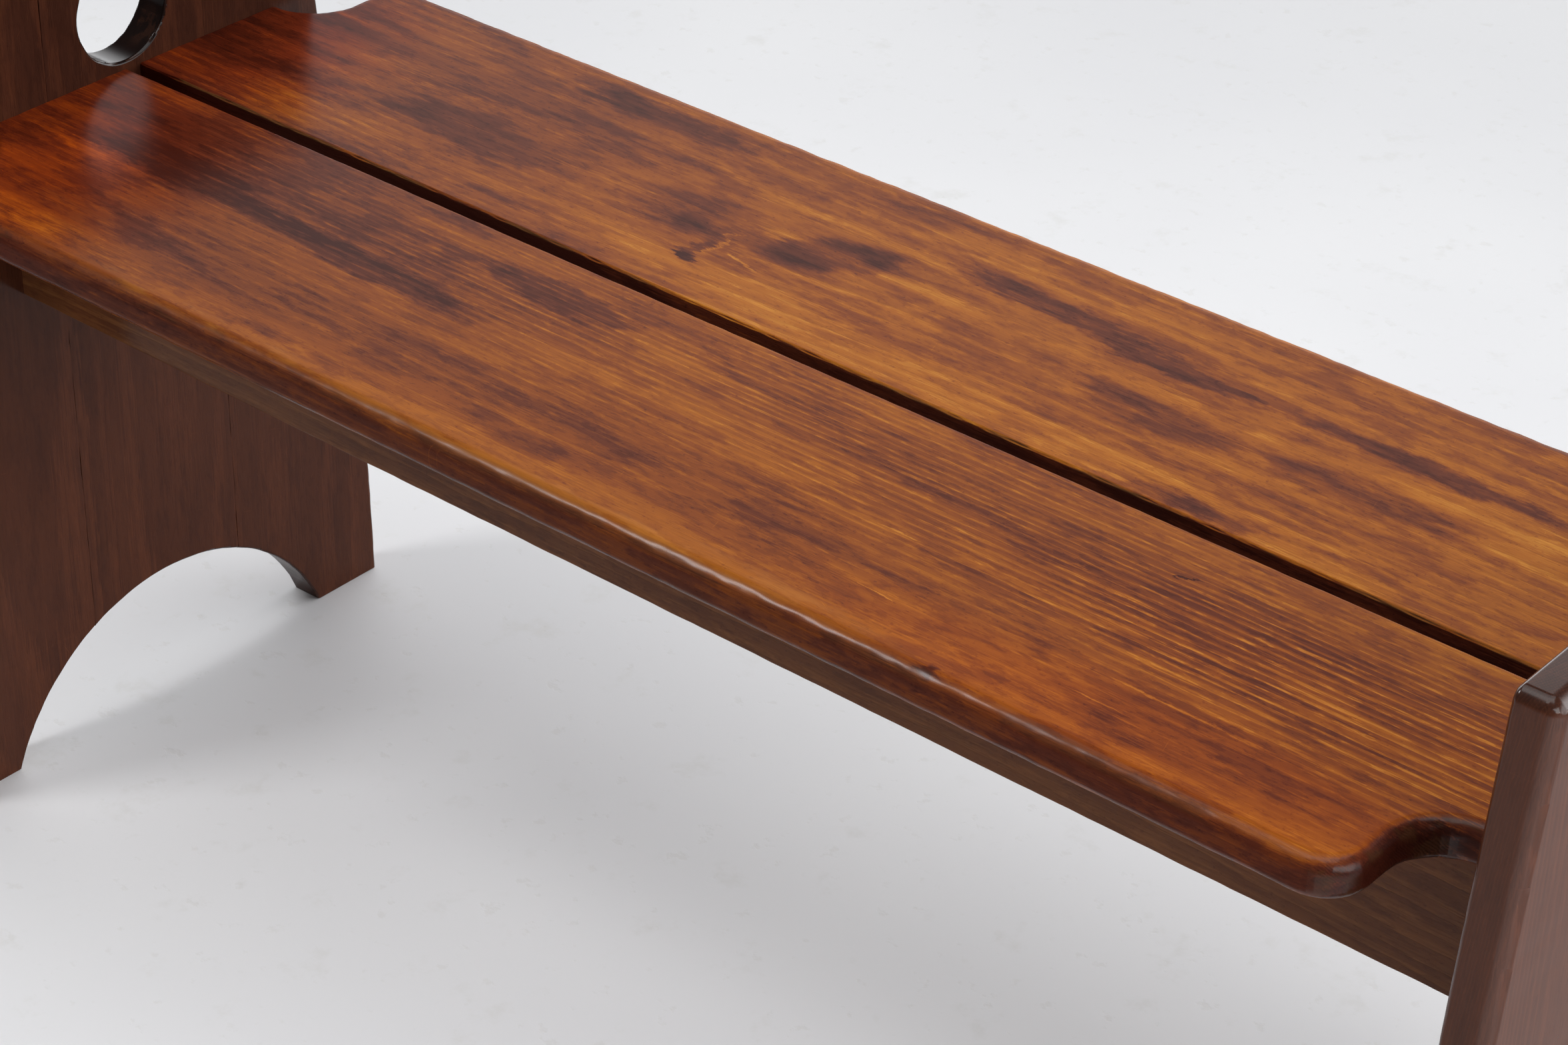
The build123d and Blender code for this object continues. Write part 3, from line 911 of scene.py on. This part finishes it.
@dataclass
class SeatBoards:
    """The two shaped boards of the seat."""

    cut_pitch: float = 3 * MILLIMETRE
    cross_pitch: float = 6 * MILLIMETRE
    front_wear: float = 0.3 * MILLIMETRE
    back_wear: float = 0.6 * MILLIMETRE
    wear_size: Triple = (0.014, 0.006, 0.006)

    def build(self, tools: WoodTools) -> None:
        """Model both boards.

        Args:
            tools: The shared shader groups.
        """
        boards = (
            ("front_seat_board", self.front_wear, self.front_finish()),
            ("back_seat_board", self.back_wear, self.back_finish()),
        )
        for node, wear, finish in boards:
            low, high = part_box(node)
            shape = start_from(node)
            cut_across(shape, 0, low[0], high[0], self.cut_pitch)
            cut_across(shape, 1, low[1], high[1], self.cross_pitch)
            wear_edges(shape, wear, self.wear_size, seed=low[1])
            paint(finish_piece(shape, node), finish.make(tools))

    def front_finish(self) -> PineFinish:
        """Finish of the front board: straight rings, darker at the back and right."""
        return PineFinish(
            name="front board pine",
            tones=SEAT_TONES,
            pith=(0.0, -0.170, 0.398),
            ring_spacing=0.0047,
            wander=0.013,
            ring_depth=0.06,
            ring_places=(
                Cloud(0.440, -0.088, 0.190, 0.044, 0.19, 0.6),
                Cloud(0.150, -0.055, 0.280, 0.045, 0.09, 0.6),
                Cloud(-0.230, -0.055, 0.170, 0.035, 0.06, 0.5),
            ),
            ground=0.27,
            # painted shade on the nose and on the wall of the gap
            painted_side_shade=0.26,
            wear=0.15,
            gloss=Gloss(arris_coat=4.0, coat_roughness=0.24),
            broad_depth=0.16,
            patch_depth=0.15,
            fleck_depth=0.11,
            speck_depth=0.15,
            rubbed=(
                Cloud(-0.250, -0.184, 0.100, 0.005, 0.6, 0.5),
                Cloud(-0.020, -0.185, 0.120, 0.006, 0.7, 0.5),
                Cloud(0.130, -0.182, 0.070, 0.007, 0.7, 0.5),
            ),
            blush=(
                Cloud(-0.500, -0.100, 0.120, 0.120, 0.9, 0.6),
                Cloud(0.380, -0.165, 0.190, 0.034, 0.38, 0.5),
                Cloud(0.430, -0.085, 0.180, 0.046, 0.18, 0.6),
            ),
            clouds=(
                Cloud(-0.560, -0.090, 0.440, 0.300, 0.31, 0.7),
                Cloud(-0.135, -0.040, 0.055, 0.013, 0.28, 0.2),
                Cloud(-0.250, -0.084, 0.095, 0.010, 0.30, 0.25, lean=-0.03),
                Cloud(-0.400, -0.074, 0.070, 0.020, 0.34, 0.4),
                Cloud(-0.440, -0.035, 0.060, 0.020, 0.22, 0.5),
                Cloud(0.180, -0.055, 0.180, 0.038, 0.15, 0.5),
                Cloud(0.380, -0.065, 0.150, 0.036, 0.07, 0.5),
                Cloud(0.400, -0.155, 0.110, 0.026, 0.12, 0.4),
                Cloud(-0.450, -0.090, 0.050, 0.006, -0.30, 0.4),
                Cloud(-0.300, -0.182, 0.300, 0.010, -0.16, 0.5),
                Cloud(-0.430, -0.172, 0.050, 0.010, -0.16, 0.5),
                Cloud(0.050, -0.140, 0.240, 0.045, 0.10, 0.6),
            ),
            # painted shade in the ogee hollows beside the end panels
            shaded_hollows=(
                Cloud(0.510, -0.145, 0.060, 0.070, 0.34, 0.3),
                Cloud(-0.510, -0.145, 0.060, 0.070, 0.34, 0.3),
            ),
            marks=(
                Cloud(0.287, -0.0415, 0.0030, 0.0025, 0.50, 0.3, lean=0.8),
                Cloud(0.155, -0.102, 0.012, 0.0007, -0.40, 0.4, lean=-0.03),
                Cloud(0.182, -0.152, 0.009, 0.0006, -0.35, 0.4, lean=-0.03),
                Cloud(0.316, -0.155, 0.017, 0.0006, -0.35, 0.4, lean=-0.02),
                Cloud(0.352, -0.135, 0.038, 0.0007, -0.30, 0.4, lean=-0.02),
                Cloud(0.240, -0.186, 0.006, 0.0045, 0.40, 0.4),
            ),
        )

    def back_finish(self) -> PineFinish:
        """Finish of the back board: honey coloured, with dark clouds."""
        return PineFinish(
            name="back board pine",
            tones=SEAT_TONES,
            shift=(3.1, 0.0, 0.0),
            pith=(0.0, 0.110, 0.380),
            ring_spacing=0.0060,
            wander=0.03,
            ring_depth=0.07,
            ground=0.25,
            patch_depth=0.15,
            fleck_depth=0.10,
            # painted shade on the wall of the gap and on the back edge
            painted_side_shade=0.6,
            broad_depth=0.20,
            gloss=Gloss(arris_coat=0.1, coat_roughness=0.24),
            blush=(Cloud(-0.520, 0.070, 0.100, 0.110, 0.9, 0.5),),
            clouds=(
                Cloud(-0.560, 0.100, 0.400, 0.300, 0.20, 0.8),
                Cloud(-0.135, 0.085, 0.034, 0.026, 0.20, 0.4),
                Cloud(-0.230, 0.162, 0.060, 0.012, 0.30, 0.3),
                Cloud(-0.300, 0.074, 0.075, 0.016, 0.22, 0.4),
                Cloud(-0.330, 0.125, 0.140, 0.030, 0.16, 0.5),
                Cloud(0.080, 0.132, 0.070, 0.009, 0.38, 0.3),
                Cloud(0.160, 0.121, 0.055, 0.006, 0.32, 0.3),
                Cloud(0.320, 0.124, 0.080, 0.007, 0.32, 0.3),
                Cloud(0.180, 0.074, 0.050, 0.014, 0.28, 0.3),
                Cloud(0.310, 0.082, 0.060, 0.014, 0.24, 0.3),
                Cloud(0.262, 0.016, 0.026, 0.007, 0.30, 0.4),
                Cloud(0.232, 0.014, 0.030, 0.008, 0.25, 0.3),
                Cloud(-0.510, 0.060, 0.070, 0.090, 0.30, 0.8),
            ),
            marks=(
                Cloud(-0.050, 0.098, 0.036, 0.019, 0.38, 0.25, lean=0.40),
                Cloud(-0.070, 0.082, 0.036, 0.010, 0.12, 0.40),
                Cloud(-0.015, 0.106, 0.020, 0.006, 0.14, 0.30),
                Cloud(-0.134, 0.076, 0.012, 0.014, 0.16, 0.40),
                Cloud(-0.113, 0.052, 0.004, 0.012, 0.28, 0.40),
                Cloud(-0.110, 0.041, 0.007, 0.003, 0.60, 0.30),
                Cloud(-0.084, 0.057, 0.013, 0.001, -0.35, 0.40, lean=-0.22),
                Cloud(-0.108, 0.068, 0.0015, 0.016, -0.25, 0.50),
            ),
        )


@dataclass
class EndPanel:
    """One end panel, glued up from three upright staves."""

    side: Side
    cut_pitch: float = 5 * MILLIMETRE
    wear_depth: float = 0.5 * MILLIMETRE
    wear_size: Triple = (0.008, 0.008, 0.016)

    def build(self, tools: WoodTools) -> None:
        """Model the three staves.

        Args:
            tools: The shared shader groups.
        """
        for index, part in enumerate(("front", "middle", "back")):
            node = f"{self.side.value}_end_{part}_stave"
            low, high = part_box(node)
            shape = start_from(node)
            cut_across(shape, 2, low[2], high[2], self.cut_pitch)
            wear_edges(shape, self.wear_depth, self.wear_size, seed=low[0] + index)
            finish = self.finish(part, index)
            paint(finish_piece(shape, node), finish.make(tools))

    def finish(self, part: str, index: int) -> PineFinish:
        """Finish of one stave.

        Args:
            part: The stave's name in the panel.
            index: Its place, 0 at the front.

        Returns:
            The finish.
        """
        left = self.side is Side.LEFT
        offset = 1.7 * index + (0.0 if left else 0.9)
        # painted shade on the walls of the hand hole
        hole_wall_shade = Cloud(0.4895, -0.005, 0.042, 0.042, 0.46, 0.05)
        # painted shade over the top of the left panel, above the seat
        painted_top_shade = Cloud(0.560, 0.0, 0.160, 0.300, 0.14, 0.6)
        return PineFinish(
            name=f"{self.side.value} {part} stave pine",
            tones=PANEL_TONES,
            grain=Grain.UPRIGHT,
            shift=(offset, 0.0, 0.0),
            pith=(0.0, 0.10 * (index - 1), 0.42),
            ring_spacing=0.0015,
            wander=0.010,
            ring_depth=0.07,
            wear=0.12,
            broad_depth=0.035,
            patch_depth=0.04,
            fleck_depth=0.03,
            streak_depth=0.02,
            speck_depth=0.04,
            fibre_depth=0.03,
            gold_depth=-0.03,
            ground=0.51 if left else 0.42,
            end_depth=0.24,
            gloss=Gloss(
                coat=0.33 if left else 0.50,
                arris_coat=1.7,
                coat_roughness=0.16,
                file_ridge=0.3,
            ),
            face=0,
            clouds=(painted_top_shade,) if left else (),
            shaded_hollows=(hole_wall_shade,),
            worn=display(112, 66, 44),
        )


@dataclass
class Aprons:
    """The two long rails under the seat."""

    cut_pitch: float = 6 * MILLIMETRE
    wear_depth: float = 0.4 * MILLIMETRE
    wear_size: Triple = (0.018, 0.006, 0.006)

    def build(self, tools: WoodTools) -> None:
        """Model both aprons.

        Args:
            tools: The shared shader groups.
        """
        for index, node in enumerate(("front_apron", "back_apron")):
            low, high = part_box(node)
            shape = start_from(node)
            cut_across(shape, 0, low[0], high[0], self.cut_pitch)
            wear_edges(shape, self.wear_depth, self.wear_size, seed=low[1])
            finish = PineFinish(
                name=f"{node.replace('_', ' ')} pine",
                tones=APRON_TONES,
                shift=(0.6 + 1.3 * index, 0.0, 0.0),
                pith=(0.0, -0.01, 0.25),
                ring_spacing=0.009,
                wander=0.09,
                ring_depth=0.16,
                broad_depth=0.08,
                patch_depth=0.10,
                # Painted light and shade: the front apron, in the seat's shadow, has a paler stain
                # than the back apron, which the bright wall behind lights.
                ground=(0.18, 0.62)[index],
                gloss=Gloss(coat=0.28),
            )
            paint(finish_piece(shape, node), finish.make(tools))


class Underside:
    """Cleats and batten under the seat."""

    def build(self, tools: WoodTools) -> None:
        """Dress the cleats and the batten.

        Args:
            tools: The shared shader groups.
        """
        finish = PineFinish(
            name="underside pine",
            tones=UNDER_TONES,
            grain=Grain.ACROSS,
            pith=(0.0, 0.36, -0.06),
            ring_spacing=0.004,
            gloss=Gloss(roughness=0.6, coat=0.0),
        ).make(tools)
        for node in ("left_seat_cleat", "right_seat_cleat", "centre_batten"):
            paint(bpy.data.objects[node], finish)


@dataclass
class Fastenings:
    """Dowels and screws."""

    dowels: tuple[str, ...] = ("left_apron_dowels", "right_apron_dowels", "batten_dowels")
    screws: tuple[str, ...] = (
        "front_apron_screws",
        "back_apron_screws",
        "batten_screws",
        "left_cleat_seat_screws",
        "right_cleat_seat_screws",
        "left_cleat_panel_screws",
        "right_cleat_panel_screws",
    )

    def build(self, tools: WoodTools) -> None:
        """Dress the dowels and the screws.

        Args:
            tools: The shared shader groups.
        """
        beech = PineFinish(
            name="turned beech",
            tones=BEECH_TONES,
            ring_spacing=0.002,
            gloss=Gloss(roughness=0.65, coat=0.0),
        ).make(tools)
        steel = MetalFinish().make()
        for node in self.dowels:
            paint(bpy.data.objects[node], beech)
        for node in self.screws:
            paint(bpy.data.objects[node], steel)


# ---------------------------------------------------------------- the studio
@dataclass
class Studio:
    """Pale floor, soft lights and the camera."""

    camera_place: Triple = (1.11778, -1.36653, 1.45968)
    yaw: float = -0.68622
    pitch: float = 0.56452
    roll: float = 0.02342
    lens: float = 87.67
    floor_size: float = 24.0

    def build(self) -> None:
        """Set up the floor, the lights, the surroundings and the camera."""
        self.lay_floor()
        self.hang_light("key", (-1.25, -1.15, 2.40), (-0.30, 0.0, 0.2), 0.50, 18.5)
        self.hang_light("overhead", (0.20, 0.10, 2.60), (0.0, 0.0, 0.2), 2.0, 27.0)
        self.hang_light("side", (2.30, -0.60, 1.40), (0.2, 0.0, 0.2), 1.4, 24.0)
        self.surround(0.10, 5.0, 0.80)
        self.place_camera()

    def lay_floor(self) -> None:
        """Lay a painted floor with faint pits and rubs."""
        shape = bmesh.new()
        bmesh.ops.create_grid(shape, x_segments=1, y_segments=1, size=self.floor_size / 2)
        mesh = bpy.data.meshes.new("floor")
        shape.to_mesh(mesh)
        shape.free()
        floor = bpy.data.objects.new("floor", mesh)
        bpy.context.scene.collection.objects.link(floor)
        material = bpy.data.materials.new("painted floor")
        material.use_nodes = True
        sheet = Sheet(material.node_tree)
        shader = material.node_tree.nodes["Principled BSDF"]
        place = sheet.node("ShaderNodeTexCoord").outputs["Object"]
        pits = sheet.noise(sheet.vector("SCALE", place, 60.0), 5.0, 0.6).outputs[0]
        slow = sheet.noise(sheet.vector("SCALE", place, 2.0), 2.0).outputs[0]
        pitted = sheet.ease(pits, 0.60, 0.70)
        base = sheet.mix(sheet.ease(slow, 0.3, 0.7), (0.80, 0.80, 0.81), (0.76, 0.76, 0.775))
        smudge = sheet.noise(sheet.vector("SCALE", place, 22.0), 6.0, 0.65).outputs[0]
        base = sheet.mix(sheet.ease(smudge, 0.56, 0.72, 0.0, 0.5), base, (0.70, 0.695, 0.68))
        base = sheet.mix(sheet.math("MULTIPLY", pitted, 0.20), base, (0.62, 0.60, 0.56))
        sheet.feed(shader.inputs["Base Color"], base)
        shader.inputs["Roughness"].default_value = 0.6
        shader.inputs["Specular IOR Level"].default_value = 0.1
        bump = sheet.node("ShaderNodeBump")
        sheet.feed(bump.inputs["Strength"], 0.6)
        sheet.feed(bump.inputs["Distance"], 0.0001)
        sheet.feed(bump.inputs["Height"], sheet.math("SUBTRACT", slow, pitted))
        sheet.feed(shader.inputs["Normal"], bump.outputs[0])
        mesh.materials.append(material)

    def hang_light(self, name: str, place: Triple, aim: Triple, size: float, power: float) -> None:
        """Hang a square area light.

        Args:
            name: The light's name.
            place: Where it hangs.
            aim: The point that it faces.
            size: Side of its panel.
            power: Its power in watts.
        """
        data = bpy.data.lights.new(name, "AREA")
        data.shape = "SQUARE"
        data.size = size
        data.energy = power
        lamp = bpy.data.objects.new(name, data)
        direction = Vector(aim) - Vector(place)
        turn = direction.to_track_quat("-Z", "Y").to_matrix().to_4x4()
        lamp.matrix_world = Matrix.Translation(place) @ turn
        bpy.context.scene.collection.objects.link(lamp)

    def surround(self, dim: float, bright: float, backdrop: float) -> None:
        """Light the scene from a low bright wall behind the bench.

        Args:
            dim: Brightness of the surroundings elsewhere.
            bright: Brightness of the wall.
            backdrop: Brightness of the backdrop as seen.
        """
        world = bpy.data.worlds.new("studio")
        world.use_nodes = True
        sheet = Sheet(world.node_tree)
        background = world.node_tree.nodes["Background"]
        background.inputs[0].default_value = (0.975, 0.985, 1.0, 1.0)
        way = sheet.split(sheet.node("ShaderNodeTexCoord").outputs["Generated"])
        behind = sheet.ease(way[1], -0.2, 0.9)
        low = sheet.ease(way[2], 0.66, 0.36)
        wall = sheet.math("MULTIPLY", sheet.math("MULTIPLY", behind, low), bright - dim)
        level = sheet.math("ADD", dim, wall)
        seen = sheet.node("ShaderNodeLightPath").outputs["Is Camera Ray"]
        extra = sheet.math("MULTIPLY", seen, sheet.math("SUBTRACT", backdrop, level))
        sheet.feed(background.inputs[1], sheet.math("ADD", level, extra))
        bpy.context.scene.world = world

    def place_camera(self) -> None:
        """Set the camera above the front right of the bench."""
        data = bpy.data.cameras.new("camera")
        data.sensor_width = 36.0
        data.lens = self.lens
        camera = bpy.data.objects.new("camera", data)
        camera.matrix_world = (
            Matrix.Translation(self.camera_place)
            @ Matrix.Rotation(-self.yaw, 4, "Z")
            @ Matrix.Rotation(math.pi / 2 - self.pitch, 4, "X")
            @ Matrix.Rotation(self.roll, 4, "Z")
        )
        bpy.context.scene.collection.objects.link(camera)
        bpy.context.scene.camera = camera
        bpy.context.scene.view_settings.view_transform = "Standard"


def main() -> None:
    """Build the bench and its studio, and report each step."""
    logging.basicConfig(level=logging.INFO, format="%(name)s: %(message)s")
    tools = WoodTools()
    panels = (EndPanel(Side.LEFT), EndPanel(Side.RIGHT))
    for part in (SeatBoards(), *panels, Aprons(), Underside(), Fastenings()):
        part.build(tools)
        LOG.info("built %s", type(part).__name__)
    Studio().build()


if __name__ == "__main__":
    main()
